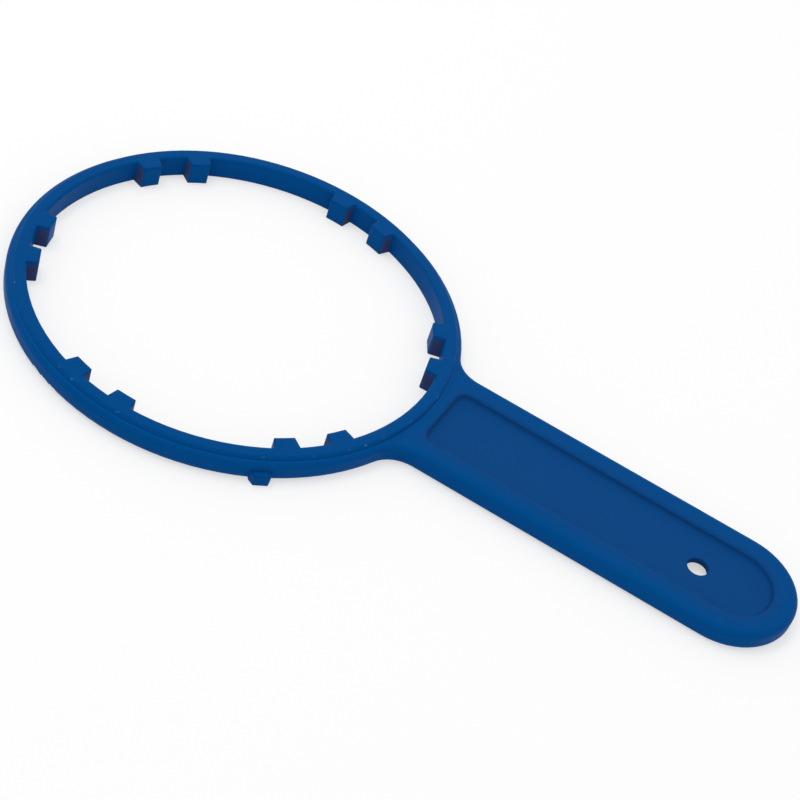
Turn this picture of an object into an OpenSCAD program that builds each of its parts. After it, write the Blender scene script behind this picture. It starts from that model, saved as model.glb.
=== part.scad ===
// Filter housing wrench, moulded in one piece of blue plastic.
// A toothed ring slips over the ribbed nut of a filter housing and a flat handle turns it.
// Ring centre on the Z axis, handle along +X, underside on the plane z = 0. Sizes in mm.

/* [Ring] */
// Diameter over the outside of the ring
ring_d = 135; // [110:0.5:160]
// Thickness of the ring wall, outside to inside
ring_wall = 5.7; // [5:0.1:8]
// Height of the outside of the ring and of the handle rim
height = 6; // [5.4:0.1:8]
// Radius that rounds the outer edges of the ring and of the handle
edge_r = 1.7; // [0.6:0.1:1.8]
// How far the toothed inner part of the ring stands above the rest
grip_rise = 1.2; // [0.4:0.1:3]
// Width of the ledge round the outside of the toothed part
ledge_w = 1.9; // [1.9:0.1:3]
// Radius that rounds the edges of the toothed part
grip_r = 0.5; // [0.2:0.1:0.7]

/* [Teeth] */
// Number of tooth pairs round the inside of the ring
tooth_pairs = 6; // [4:1:8]
// Angle from the handle to the middle of the first pair
first_pair_angle = 21.7; // [0:0.1:59.9]
// Angle from the middle of a pair to each of its two teeth
pair_half_angle = 7.7; // [6:0.1:10]
// How far a tooth stands in from the ring wall
tooth_h = 3.7; // [2:0.1:4.5]
// Width of a tooth at the ring wall
tooth_root_w = 7.4; // [6.6:0.1:9]
// Width of a tooth at its tip
tooth_tip_w = 6; // [4.6:0.1:6.4]
// Radius that rounds the edges of a tooth tip
tooth_tip_r = 0.5; // [0.2:0.1:0.8]

/* [Handle] */
// Distance from the ring centre to the far end of the handle
handle_reach = 182.5; // [150:0.5:220]
// Width of the handle, and diameter of its round end
handle_w = 39.8; // [32:0.2:46]
// Radius of the two hollow curves that join the handle to the ring
junction_r = 9.85; // [6:0.05:18]

/* [Recess] */
// Width of the raised rim round the handle
rim_w = 6.3; // [4.6:0.1:8]
// Thickness of the web between the upper and the lower recess
web_t = 1.8; // [1.2:0.1:2.8]
// Gap between the outside of the ring and the lip of the recess
recess_gap = 0.8; // [0.4:0.1:6]
// Radius of the recess corners next to the ring
recess_corner_r = 4.6; // [1.6:0.1:8]
// Radius that rounds the lip of the recess
lip_r = 1.2; // [0.3:0.1:1.6]
// Radius of the hollow foot of the recess wall
foot_r = 3.5; // [0.3:0.1:5]

/* [Hanging hole] */
// Diameter of the hanging hole
hole_d = 6.3; // [4:0.1:9]
// Distance from the far end of the handle to the middle of the hole
hole_from_end = 29.6; // [16:0.1:60]

/* [Outer lug] */
// Angle from the handle to the small lug on the outside of the ring
lug_angle = 307.5; // [45:0.5:315]
// How far the lug stands out from the ring
lug_out = 2; // [1:0.1:4]
// Width of the lug at the ring
lug_root_w = 6.2; // [5:0.1:9]
// Width of the lug at its outer face
lug_tip_w = 4.2; // [3:0.1:4.8]
// Height of the lug from the underside
lug_h = 3.4; // [2:0.1:4]

/* [Hidden] */
$fn = 96;
plastic = "#0A4A8A";
over = 1;
// How far a tooth flank starts inside its rounded corner
seat = 0.01;
ring_r = ring_d / 2;
bore_r = ring_r - ring_wall;
tip_r = bore_r - tooth_h;
ledge_r = ring_r - ledge_w;
grip_h = height + grip_rise;
mid_r = (bore_r + ledge_r) / 2;
half_w = handle_w / 2;
end_x = handle_reach - half_w;
// The junction curves touch the ring and the handle sides, which gives their centres
joint_y = half_w + junction_r;
joint_x = sqrt(pow(ring_r + junction_r, 2) - pow(joint_y, 2));
// How far the ledge reaches into the toothed part
lap = min(1.2, (ledge_r - bore_r) / 2);
// Width of the rounded strip along a junction curve
strip_w = edge_r + lap;
recess_d = (height - web_t) / 2;
recess_half_w = half_w - rim_w;
recess_x = ring_r + recess_gap;
// The recess wall rises 4 for each 3 along; its rounded lip and hollow foot share its depth
wall_sin = 0.8;
wall_cos = 0.6;
lip = min(lip_r, 0.6 * recess_d);
foot = min(foot_r, 2.4 * recess_d - lip);
wall_rise = recess_d - (lip + foot) * (1 - wall_cos);
wall_run = (lip + foot) * wall_sin + wall_rise * wall_cos / wall_sin;
recess_corner = max(recess_corner_r, wall_run + 0.1);

// Rectangle with one corner at the origin and all four corners rounded
module rounded_section(w, h, r) {
    translate([r, 0]) square([w - 2 * r, h]);
    translate([0, r]) square([w, h - 2 * r]);
    for (x = [r, w - r], y = [r, h - r]) {
        translate([x, y]) circle(r);
    }
}

// Section of an outside edge: square at x = 0, where it runs into the body, and rounded at x = w
module edge_section(w) {
    square([w - edge_r, height]);
    translate([0, edge_r]) square([w, height - 2 * edge_r]);
    for (y = [edge_r, height - edge_r]) {
        translate([w - edge_r, y]) circle(edge_r);
    }
}

// Half section of the recess, from its middle line at x = 0 to its lip at x = a
module recess_section(a) {
    foot_x = a - wall_run;
    difference() {
        union() {
            polygon([[0, 0], [foot_x, 0], [foot_x + foot * wall_sin, foot * (1 - wall_cos)],
                     [a - lip * wall_sin, recess_d - lip * (1 - wall_cos)],
                     [a, recess_d], [a, recess_d + over], [0, recess_d + over]]);
            intersection() {
                translate([foot_x, foot]) circle(foot);
                translate([foot_x, 0]) square([foot * wall_sin, recess_d]);
            }
        }
        translate([a, recess_d - lip]) circle(lip);
    }
}

// Prism over a plan, reaching past the underside and the top of the wrench
module trim() {
    translate([0, 0, -over]) linear_extrude(height + 2 * over) children();
}

// Tall inner hoop that carries the teeth
module grip() {
    rotate_extrude() translate([bore_r, 0]) rounded_section(ledge_r - bore_r, grip_h, grip_r);
}

// Lower ledge round the outside of the hoop; it stops where the junction curves take over
module ledge() {
    difference() {
        rotate_extrude() translate([ledge_r - lap, 0]) edge_section(ledge_w + lap);
        trim() polygon([[0, 0], [joint_x, -joint_y], [joint_x, joint_y]]);
    }
}

// Plan of one tooth along +X, a little narrower at the tip, with rounded tip corners
module tooth_plan() {
    taper = atan2((tooth_root_w - tooth_tip_w) / 2, tooth_h);
    corner_y = tooth_tip_w / 2 - tooth_tip_r * (1 - sin(taper)) / cos(taper);
    flank_x = tip_r + tooth_tip_r - (tooth_tip_r - seat) * sin(taper);
    flank_y = corner_y + (tooth_tip_r - seat) * cos(taper);
    root_y = flank_y + (mid_r - flank_x) * tan(taper);
    polygon([[tip_r, -corner_y], [flank_x, -flank_y], [mid_r, -root_y],
             [mid_r, root_y], [flank_x, flank_y], [tip_r, corner_y]]);
    for (y = [-corner_y, corner_y]) {
        translate([tip_r + tooth_tip_r, y]) circle(tooth_tip_r);
    }
}

// Pairs of teeth spaced evenly round the inside of the ring; a turned envelope softens their tip edges
module teeth() {
    envelope_r = tip_r - tooth_tip_r / 4;
    intersection() {
        linear_extrude(grip_h) for (pair = [0 : tooth_pairs - 1], side = [-1, 1]) {
            rotate(first_pair_angle + pair * 360 / tooth_pairs + side * pair_half_angle) tooth_plan();
        }
        rotate_extrude() translate([envelope_r, 0])
            rounded_section(ring_r - envelope_r, grip_h, tooth_tip_r);
    }
}

// Small tapered lug on the outside of the ring, flush with the underside
module lug() {
    linear_extrude(lug_h) rotate(lug_angle) polygon([
        [mid_r, -lug_root_w / 2], [ring_r, -lug_root_w / 2],
        [ring_r + lug_out, -lug_tip_w / 2], [ring_r + lug_out, lug_tip_w / 2],
        [ring_r, lug_root_w / 2], [mid_r, lug_root_w / 2]]);
}

// Hollow curve between the ring and one side of the handle, with rounded edges
module junction_curve() {
    intersection() {
        translate([joint_x, joint_y, 0]) rotate_extrude()
            translate([junction_r + strip_w, 0]) mirror([1, 0]) edge_section(strip_w);
        trim() polygon([[0, 0], [joint_x, 0], [joint_x, joint_y]]);
    }
}

// Flat filling between the ring, the two junction curves and the handle bar
module junction_core() {
    reach_y = joint_y + over;
    linear_extrude(height) difference() {
        polygon([[0, 0], [joint_x, -reach_y], [joint_x + over, -reach_y],
                 [joint_x + over, reach_y], [joint_x, reach_y]]);
        circle(ledge_r - lap / 2);
        for (y = [-joint_y, joint_y]) {
            translate([joint_x, y]) circle(junction_r + strip_w - lap / 2);
        }
    }
}

// Straight bar of the handle and its full round end, with rounded edges
module handle_bar() {
    translate([joint_x, 0, 0]) rotate([90, 0, 90]) linear_extrude(end_x - joint_x)
        translate([-half_w, 0]) rounded_section(handle_w, height, edge_r);
    translate([end_x, 0, 0]) rotate(-90) rotate_extrude(angle = 180) edge_section(half_w);
}

// Room of the upper recess: long sides, round far end, and rounded corners next to the ring
module recess() {
    corner_x = recess_x + recess_corner;
    corner_y = recess_half_w - recess_corner;
    translate([0, 0, height - recess_d]) {
        translate([corner_x, 0, 0]) rotate([90, 0, 90]) linear_extrude(end_x - corner_x) {
            recess_section(recess_half_w);
            mirror([1, 0]) recess_section(recess_half_w);
        }
        translate([end_x, 0, 0]) rotate(-90) rotate_extrude(angle = 180)
            recess_section(recess_half_w);
        translate([corner_x, -corner_y, 0]) rotate([90, 0, 180]) linear_extrude(2 * corner_y)
            recess_section(recess_corner);
        translate([corner_x, corner_y, 0]) rotate(90) rotate_extrude(angle = 90)
            recess_section(recess_corner);
        translate([corner_x, -corner_y, 0]) rotate(180) rotate_extrude(angle = 90)
            recess_section(recess_corner);
    }
}

// The whole moulding
module wrench() {
    color(plastic) difference() {
        union() {
            grip();
            teeth();
            ledge();
            lug();
            junction_curve();
            mirror([0, 1, 0]) junction_curve();
            junction_core();
            handle_bar();
        }
        recess();
        translate([0, 0, height]) mirror([0, 0, 1]) recess();
        translate([handle_reach - hole_from_end, 0, -over]) cylinder(h = height + 2 * over, d = hole_d);
    }
}

wrench();
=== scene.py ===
# %% [markdown]
# # A filter housing wrench in blue moulded plastic
#
# The real wrench is one flat moulding. A ring with paired teeth slips over the ribbed nut of a water
# filter housing, and a recessed handle turns it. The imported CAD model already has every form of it, so
# this lesson loads that model as a fixed frame and spends its effort on the plastic, the light and the
# camera.

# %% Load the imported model
import math

import bpy
from mathutils import Matrix, Vector

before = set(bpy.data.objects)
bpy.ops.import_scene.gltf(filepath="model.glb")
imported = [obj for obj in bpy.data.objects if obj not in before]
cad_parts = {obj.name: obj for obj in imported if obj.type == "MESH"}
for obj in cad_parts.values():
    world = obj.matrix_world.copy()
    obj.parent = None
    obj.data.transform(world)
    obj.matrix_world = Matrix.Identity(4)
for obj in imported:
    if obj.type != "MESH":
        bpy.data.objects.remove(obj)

MM = 0.001
scene = bpy.context.scene
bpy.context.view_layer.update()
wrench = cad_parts["wrench"]
print("wrench triangles:", len(wrench.data.polygons))

# %% [markdown]
# ## Camera
#
# A product photograph can be matched by eye, but here the ring helps: a circle seen at a slant is an
# ellipse whose proportions give the camera's height, and the handle gives its turn. The camera was
# fitted to those outlines. It looks down on the wrench from the side of the near teeth, rolled a little,
# so the handle runs to the lower right.

# %% Camera at the photograph's viewing angle
TURN = math.radians(15.22)
HEIGHT = math.radians(41.647)
ROLL = math.radians(19.766)
DISTANCE = 610.6 * MM
AIM = Vector((55.467, 2.351, 0)) * MM
PICTURE_PIXELS = 800
FOCAL_PIXELS = 2117.56
SENSOR = 36

back = Vector((
    math.sin(TURN) * math.cos(HEIGHT),
    -math.cos(TURN) * math.cos(HEIGHT),
    math.sin(HEIGHT),
))
level = Vector((math.cos(TURN), math.sin(TURN), 0))
upward = back.cross(level)
camera_x = math.cos(ROLL) * level + math.sin(ROLL) * upward
camera_y = math.cos(ROLL) * upward - math.sin(ROLL) * level

camera_data = bpy.data.cameras.new("Camera")
camera_data.sensor_width = SENSOR
camera_data.lens = FOCAL_PIXELS * SENSOR / PICTURE_PIXELS
camera = bpy.data.objects.new("Camera", camera_data)
scene.collection.objects.link(camera)
axes = Matrix((camera_x, camera_y, back)).transposed().to_4x4()
camera.matrix_world = Matrix.Translation(AIM + DISTANCE * back) @ axes
scene.camera = camera
print("camera at", [round(v, 4) for v in camera.location], "lens", round(camera_data.lens, 2))

# %% [markdown]
# ## Colours and nodes
#
# Colours are written as they look on screen, in sRGB hex, and Blender works in linear light, so one
# function turns one into the other. A second function adds a node with its settings and links, which
# keeps each material short enough to read.

# %% Helpers for colours and nodes
def linear(hex_colour):
    """Linear RGBA of an sRGB hex colour."""
    parts = [int(hex_colour[i:i + 2], 16) / 255 for i in (1, 3, 5)]
    return [v / 12.92 if v <= 0.04045 else ((v + 0.055) / 1.055) ** 2.4 for v in parts] + [1]


def add_node(tree, kind, settings, inputs):
    """Adds a node. An input is a plain value, a socket, or a node whose first live output is linked."""
    made = tree.nodes.new(kind)
    for name, value in settings.items():
        setattr(made, name, value)
    for name, value in inputs.items():
        if isinstance(value, bpy.types.Node):
            value = next(socket for socket in value.outputs if socket.enabled)
        if isinstance(value, bpy.types.NodeSocket):
            tree.links.new(value, made.inputs[name])
        else:
            made.inputs[name].default_value = value
    return made


def new_material(name):
    """An empty node material and its tree."""
    material = bpy.data.materials.new(name)
    material.use_nodes = True
    material.node_tree.nodes.clear()
    return material, material.node_tree


print("plain white is", [round(v, 3) for v in linear("#FFFFFF")])

# %% [markdown]
# ## Where a spot of plastic sits
#
# Wear and dirt depend on the place, so the plastic first needs to know where on the wrench each spot is:
# how far from the middle line of the handle, how far from the axis of the ring, and how far above or
# below mid height. Object coordinates give all of these and stay with the part wherever it is moved. The
# middle line ends where the round end of the handle has its centre, and from there on the distance is
# taken to that point, so one number follows the long outline of the recess.

# %% Distances on the part
HALF_HEIGHT_MM = 3
RING_RADIUS_MM = 67.5
ROOT_MM = 2         # over this length next to the ring the marks of the handle fade in
END_X_MM = 162.6
FLATTEN = (1, 1, 0)
ONLY_PAST_END = (0, -1, -1)     # cuts off x below 0 and leaves y and z, which are far less than 1 m
SOFT_STEP = {"interpolation_type": "SMOOTHSTEP"}

plastic, tree = new_material("Polypropylene_satin_blue")
coordinates = add_node(tree, "ShaderNodeTexCoord", {}, {}).outputs
place, facing = coordinates["Object"], coordinates["Normal"]
at = add_node(tree, "ShaderNodeSeparateXYZ", {}, {"Vector": place}).outputs

from_end = add_node(tree, "ShaderNodeVectorMath", {"operation": "SUBTRACT"}, {
    0: place, 1: (END_X_MM * MM, 0, HALF_HEIGHT_MM * MM)})
past_end = add_node(tree, "ShaderNodeVectorMath", {"operation": "MAXIMUM"}, {
    0: from_end, 1: ONLY_PAST_END})
to_line = add_node(tree, "ShaderNodeVectorMath", {"operation": "MULTIPLY"}, {
    0: past_end, 1: FLATTEN})
from_line = add_node(tree, "ShaderNodeVectorMath", {"operation": "LENGTH"}, {0: to_line})

distances = add_node(tree, "ShaderNodeVectorMath", {"operation": "ABSOLUTE"}, {0: from_end})
off_middle = add_node(tree, "ShaderNodeSeparateXYZ", {}, {"Vector": distances}).outputs["Z"]
plan = add_node(tree, "ShaderNodeVectorMath", {"operation": "MULTIPLY"}, {0: place, 1: FLATTEN})
radius = add_node(tree, "ShaderNodeVectorMath", {"operation": "LENGTH"}, {0: plan})
on_handle = add_node(tree, "ShaderNodeMapRange", SOFT_STEP, {
    "Value": at["X"],
    "From Min": RING_RADIUS_MM * MM, "From Max": (RING_RADIUS_MM + ROOT_MM) * MM})
print("nodes for distances:", len(tree.nodes))

# %% [markdown]
# ## The recess in the handle
#
# The floor of the recess was left a little coarser in the mould and looks duller than the rim. Its steep
# wall is painted darker as painted shade, for the shade that falls inside the recess. A Map Range node
# fades from one value to another, and it can take these values from another node. So a chain of them cuts
# one
# mask down by the next: on the handle, above the floor, below the lip, inside the rim, and steep.

# %% Mask for the floor of the recess
FLOOR_FULL_MM, FLOOR_NONE_MM = 12, 17       # from the middle line

web = add_node(tree, "ShaderNodeMapRange", SOFT_STEP, {
    "Value": from_line, "From Min": FLOOR_FULL_MM * MM, "From Max": FLOOR_NONE_MM * MM,
    "To Min": on_handle, "To Max": 0})
print("floor of the recess fades out", FLOOR_NONE_MM, "mm from the middle line")

# %% Mask for the painted shade on the wall of the recess
FOOT_NONE_MM, FOOT_FULL_MM = 0.9, 1.1       # from mid height
LIP_FULL_MM, LIP_NONE_MM = 2.3, 2.7         # from mid height
RIM_FULL_MM, RIM_NONE_MM = 14.2, 14.8       # from the middle line
STEEP, GENTLE = 0.6, 0.9                    # upright part of the normal
WALL_SHADE = 0.5

above_floor = add_node(tree, "ShaderNodeMapRange", SOFT_STEP, {
    "Value": off_middle, "From Min": FOOT_NONE_MM * MM, "From Max": FOOT_FULL_MM * MM,
    "To Max": on_handle})
below_lip = add_node(tree, "ShaderNodeMapRange", SOFT_STEP, {
    "Value": off_middle, "From Min": LIP_FULL_MM * MM, "From Max": LIP_NONE_MM * MM,
    "To Min": above_floor, "To Max": 0})
inside_rim = add_node(tree, "ShaderNodeMapRange", SOFT_STEP, {
    "Value": from_line, "From Min": RIM_FULL_MM * MM, "From Max": RIM_NONE_MM * MM,
    "To Min": below_lip, "To Max": 0})
wall_shade_cover = add_node(tree, "ShaderNodeMath", {"operation": "MULTIPLY"}, {0: inside_rim, 1: WALL_SHADE})
facing_size = add_node(tree, "ShaderNodeVectorMath", {"operation": "ABSOLUTE"}, {0: facing})
upright = add_node(tree, "ShaderNodeSeparateXYZ", {}, {"Vector": facing_size}).outputs["Z"]
# Painted shade: the steep wall of the recess is painted darker.
painted_wall_shade = add_node(tree, "ShaderNodeMapRange", SOFT_STEP, {
    "Value": upright, "From Min": STEEP, "From Max": GENTLE, "To Min": wall_shade_cover, "To Max": 0})
print("grime covers", WALL_SHADE, "of the steep wall of the recess")

# %% [markdown]
# ## Painted shade on the sides of the teeth
#
# The sides of the teeth push on the ribs of the nut. They are painted darker as painted shade, most of
# all at mid height. Such a side faces along the ring, not to its axis. The cross product of the place and
# the
# normal measures that: it is large where the two stand at a right angle.

# %% Mask for the painted shade on the sides of the teeth
GRIP_RADIUS_MM = 61.8
ROOT_FADE_MM = 0.6
SIDE_NONE_MM, SIDE_FULL_MM = 42, 56         # size of the cross product
MIDDLE_MM, TIP_MM = 1.4, 4.2                # from mid height
SHADE_MIDDLE, SHADE_TIP = 0.85, 0.2

turning = add_node(tree, "ShaderNodeVectorMath", {"operation": "CROSS_PRODUCT"}, {
    0: plan, 1: facing})
turning_size = add_node(tree, "ShaderNodeVectorMath", {"operation": "ABSOLUTE"}, {0: turning})
along_ring = add_node(tree, "ShaderNodeSeparateXYZ", {}, {"Vector": turning_size}).outputs["Z"]
side_shade_by_height = add_node(tree, "ShaderNodeMapRange", SOFT_STEP, {
    "Value": off_middle, "From Min": MIDDLE_MM * MM, "From Max": TIP_MM * MM,
    "To Min": SHADE_MIDDLE, "To Max": SHADE_TIP})
on_tooth = add_node(tree, "ShaderNodeMapRange", SOFT_STEP, {
    "Value": radius,
    "From Min": (GRIP_RADIUS_MM - ROOT_FADE_MM) * MM, "From Max": GRIP_RADIUS_MM * MM,
    "To Min": side_shade_by_height, "To Max": 0})
# Painted shade: the sides of the teeth are painted darker, most at mid height.
shade_painted = add_node(tree, "ShaderNodeMapRange", SOFT_STEP, {
    "Value": along_ring, "From Min": SIDE_NONE_MM * MM, "From Max": SIDE_FULL_MM * MM,
    "To Max": on_tooth})
print("teeth are rubbed inside a radius of", GRIP_RADIUS_MM, "mm")

# %% [markdown]
# ## Scuffs on the hoop
#
# The outer edge of the raised hoop is what knocks against things, and a few short pale scuffs show there.
# Noise picks the spots, and the radius and the height keep them on the edge.

# %% Mask for the scuffs
STEP_RADIUS_MM = 65.6
TOP_MM = 7.2
EDGE_IN_MM, EDGE_OUT_MM = 0.7, 0.3          # inside the step
EDGE_LOW_MM, EDGE_HIGH_MM = 0.6, 0.2        # below the top
KNOCK_MM = 2.4
RARE, RAREST = 0.63, 0.75                   # noise values that are reached in few places
SCUFF = 0.4

near_step = add_node(tree, "ShaderNodeMapRange", SOFT_STEP, {
    "Value": radius,
    "From Min": (STEP_RADIUS_MM - EDGE_IN_MM) * MM, "From Max": (STEP_RADIUS_MM - EDGE_OUT_MM) * MM,
    "To Max": SCUFF})
near_top = add_node(tree, "ShaderNodeMapRange", SOFT_STEP, {
    "Value": at["Z"],
    "From Min": (TOP_MM - EDGE_LOW_MM) * MM, "From Max": (TOP_MM - EDGE_HIGH_MM) * MM,
    "To Max": near_step})
knocks = add_node(tree, "ShaderNodeTexNoise", {}, {
    "Vector": place, "Scale": 1 / (KNOCK_MM * MM), "Detail": 1})
scuff = add_node(tree, "ShaderNodeMapRange", SOFT_STEP, {
    "Value": knocks, "From Min": RARE, "From Max": RAREST, "To Max": near_top})
print("scuffs about", KNOCK_MM, "mm long")

# %% [markdown]
# ## Painted light in the corner of the step
#
# The raised hoop stands on the ledge in a sharp corner on the model, which gathers shade. On the
# photograph that corner is hardly darker than the rest, as a small fillet leaves it. A paler blue is
# painted in the corner as painted light, which lifts that shade in place of the fillet.

# %% Mask for the painted light in the corner between hoop and ledge
LEDGE_MM = 6
INWARD_MM = 0.4                             # from the step to where the paler blue begins
OUT_FULL_MM, OUT_NONE_MM = 0.4, 1           # outside the step
UP_FULL_MM, UP_NONE_MM = 0.4, 1             # above the ledge
DOWN_NONE_MM, DOWN_FULL_MM = 1, 0.5         # below the ledge

past_hoop = add_node(tree, "ShaderNodeMapRange", SOFT_STEP, {
    "Value": radius,
    "From Min": (STEP_RADIUS_MM - INWARD_MM) * MM, "From Max": STEP_RADIUS_MM * MM})
before_rim = add_node(tree, "ShaderNodeMapRange", SOFT_STEP, {
    "Value": radius,
    "From Min": (STEP_RADIUS_MM + OUT_FULL_MM) * MM, "From Max": (STEP_RADIUS_MM + OUT_NONE_MM) * MM,
    "To Min": past_hoop, "To Max": 0})
below_top = add_node(tree, "ShaderNodeMapRange", SOFT_STEP, {
    "Value": at["Z"],
    "From Min": (LEDGE_MM + UP_FULL_MM) * MM, "From Max": (LEDGE_MM + UP_NONE_MM) * MM,
    "To Min": before_rim, "To Max": 0})
# Painted light: the paler blue lifts the shade in the corner of the step.
painted_light_corner = add_node(tree, "ShaderNodeMapRange", SOFT_STEP, {
    "Value": at["Z"],
    "From Min": (LEDGE_MM - DOWN_NONE_MM) * MM, "From Max": (LEDGE_MM - DOWN_FULL_MM) * MM,
    "To Max": below_top})
print("corner of the step at a radius of", STEP_RADIUS_MM, "mm")

# %% [markdown]
# ## Colour of the plastic
#
# The wrench is injection moulded in polypropylene that is coloured right through. Pigment doesn't mix
# quite evenly as the melt runs along the handle, which leaves very faint lighter and darker drifts. The
# marks are laid over that one after the other, each by its own mask.

# %% Blue with drifts, painted light in a corner, painted shade on the recess wall and teeth, and scuffs
DRIFT_MM = 46
FIRST_COLOUR, SECOND_COLOUR = 6, 7          # the Mix node's two sockets for colours

drift = add_node(tree, "ShaderNodeTexNoise", {}, {
    "Vector": place, "Scale": 1 / (DRIFT_MM * MM), "Detail": 2, "Roughness": 0.45})
# Of these layers the corner is painted light, and the recess wall and the sides of the teeth are painted
# shade.
layers = (
    (drift, "#044988"),
    # painted light in the corner of the step
    (painted_light_corner, "#044F92"),
    (web, "#0E4581"),
    # painted shade on the steep wall of the recess
    (painted_wall_shade, "#0C2650"),
    # painted shade on the sides of the teeth
    (shade_painted, "#3A3E62"),
    (scuff, "#3C84B8"),
)
colour = linear("#004584")
for mask, hex_colour in layers:
    colour = add_node(tree, "ShaderNodeMix", {"data_type": "RGBA"}, {
        "Factor": mask, FIRST_COLOUR: colour, SECOND_COLOUR: linear(hex_colour)})
print("layers over the blue:", len(layers))

# %% [markdown]
# ## Skin of the plastic
#
# The mould was ground, not polished, so the skin has a fine grain and a weak satin sheen that changes a
# little from place to place. The floor of the recess is the roughest. Edges of a moulding are never quite
# sharp, and the Bevel node softens their shading without a change to the mesh. The index of refraction is
# that of polypropylene. The sheen is kept low and bluish, as on the photograph, where the deep colour
# stays clean even where light glances off it.

# %% Satin moulded skin
GLOSS_MM = 9
GRAIN_MM = 0.9      # the real grain is about a quarter of this, too fine to show
GRAIN_DEPTH_MM = 0.02
SOFT_EDGE_MM = 1.4
SATIN, COARSE = 0.38, 0.6
UNEVEN = 0.1
NOISE_LOW, NOISE_HIGH = 0.2, 0.8            # nearly all of the noise lies between these

gloss = add_node(tree, "ShaderNodeTexNoise", {}, {
    "Vector": place, "Scale": 1 / (GLOSS_MM * MM), "Detail": 3})
uneven = add_node(tree, "ShaderNodeMapRange", SOFT_STEP, {
    "Value": gloss, "From Min": NOISE_LOW, "From Max": NOISE_HIGH, "To Max": UNEVEN})
ground = add_node(tree, "ShaderNodeMapRange", {}, {
    "Value": web, "To Min": SATIN, "To Max": COARSE})
roughness = add_node(tree, "ShaderNodeMath", {"operation": "ADD"}, {0: ground, 1: uneven})
grain = add_node(tree, "ShaderNodeTexNoise", {}, {
    "Vector": place, "Scale": 1 / (GRAIN_MM * MM), "Detail": 2})
soft = add_node(tree, "ShaderNodeBevel", {"samples": 8}, {"Radius": SOFT_EDGE_MM * MM})
skin = add_node(tree, "ShaderNodeBump", {}, {
    "Height": grain, "Strength": 0.25, "Distance": GRAIN_DEPTH_MM * MM, "Normal": soft})
shader = add_node(tree, "ShaderNodeBsdfPrincipled", {}, {
    "Base Color": colour, "Roughness": roughness, "IOR": 1.49, "Specular IOR Level": 0.03,
    "Specular Tint": linear("#20C8FF"), "Normal": skin})
add_node(tree, "ShaderNodeOutputMaterial", {}, {"Surface": shader})

wrench.data.materials.clear()
wrench.data.materials.append(plastic)
print("material on the wrench:", wrench.data.materials[0].name)

# %% [markdown]
# ## Floor
#
# The photograph has a plain white ground with almost no shadow, as on a light table. A big sheet of white
# paper under the wrench does the same. The camera and reflections see it mixed with a plain white glow,
# which thins the soft shadow that shows how the wrench lies. Light that bounces on to the wrench comes
# from the bare paper. The sheet lies a hair below the wrench, so that no two faces share a plane.

# %% Pale floor
GLOW = 0.55
FLOOR_SIZE = 8
FLOOR_DROP_MM = 0.02

bpy.ops.object.select_all(action="DESELECT")
bpy.ops.mesh.primitive_plane_add(size=FLOOR_SIZE, location=(0, 0, -FLOOR_DROP_MM * MM))
floor = bpy.context.object
floor.name = "Floor"
paper, tree = new_material("Paper_white")
ray = add_node(tree, "ShaderNodeLightPath", {}, {}).outputs
mirrored = add_node(tree, "ShaderNodeMath", {"operation": "MAXIMUM"}, {
    0: ray["Is Glossy Ray"], 1: ray["Is Transmission Ray"]})
seen = add_node(tree, "ShaderNodeMath", {"operation": "MAXIMUM"}, {
    0: ray["Is Camera Ray"], 1: mirrored})
glow_share = add_node(tree, "ShaderNodeMath", {"operation": "MULTIPLY"}, {0: seen, 1: GLOW})
matt = add_node(tree, "ShaderNodeBsdfDiffuse", {}, {"Color": linear("#FBFBFB")})
glow = add_node(tree, "ShaderNodeEmission", {}, {"Color": linear("#FFFFFF"), "Strength": 1})
sheet = add_node(tree, "ShaderNodeMixShader", {}, {0: glow_share, 1: matt, 2: glow})
add_node(tree, "ShaderNodeOutputMaterial", {}, {"Surface": sheet})
floor.data.materials.append(paper)
print("floor size in m:", list(floor.dimensions))

# %% [markdown]
# ## Light
#
# A small product on white is usually lit by large soft boxes overhead and by the white room around it.
# The room gives most of the light here, so the walls of the ring are nearly as bright as the upper faces.
# One box adds a little from above and behind, and a smaller one from the left, which gives the rounded
# edges of the ring some shape.

# %% Soft studio light
KEY_AT, KEY_SIZE, KEY_POWER = Vector((-0.3, 0.3, 1.2)), 0.8, 2.2
SIDE_AT, SIDE_SIZE, SIDE_POWER = Vector((-0.45, -0.1, 1.2)), 0.4, 2


def soft_box(name, at, size, power):
    """A square area lamp that faces the wrench."""
    data = bpy.data.lights.new(name, "AREA")
    data.size = size
    data.energy = power
    lamp = bpy.data.objects.new(name, data)
    scene.collection.objects.link(lamp)
    lamp.location = at
    lamp.rotation_euler = (AIM - at).to_track_quat("-Z", "Y").to_euler()
    return lamp


for lamp in (
    soft_box("Key_soft_box", KEY_AT, KEY_SIZE, KEY_POWER),
    soft_box("Side_soft_box", SIDE_AT, SIDE_SIZE, SIDE_POWER),
):
    print(lamp.name, lamp.data.energy, "W over", round(lamp.data.size, 2), "m")

# %% [markdown]
# The world stands for the white room. It is plain white for the camera and in reflections, and a little
# weaker as a light, so that the blue renders about as it is written.

# %% White room
ROOM_LIGHT = 0.8

room = bpy.data.worlds.new("Room")
room.use_nodes = True
tree = room.node_tree
tree.nodes.clear()
ray = add_node(tree, "ShaderNodeLightPath", {}, {}).outputs
mirrored = add_node(tree, "ShaderNodeMath", {"operation": "MAXIMUM"}, {
    0: ray["Is Glossy Ray"], 1: ray["Is Transmission Ray"]})
seen = add_node(tree, "ShaderNodeMath", {"operation": "MAXIMUM"}, {
    0: ray["Is Camera Ray"], 1: mirrored})
strength = add_node(tree, "ShaderNodeMapRange", {}, {
    "Value": seen, "To Min": ROOM_LIGHT, "To Max": 1})
white = add_node(tree, "ShaderNodeBackground", {}, {
    "Color": linear("#FFFFFF"), "Strength": strength})
add_node(tree, "ShaderNodeOutputWorld", {}, {"Surface": white})
scene.world = room
scene.view_settings.view_transform = "Standard"
print("room light:", ROOM_LIGHT)
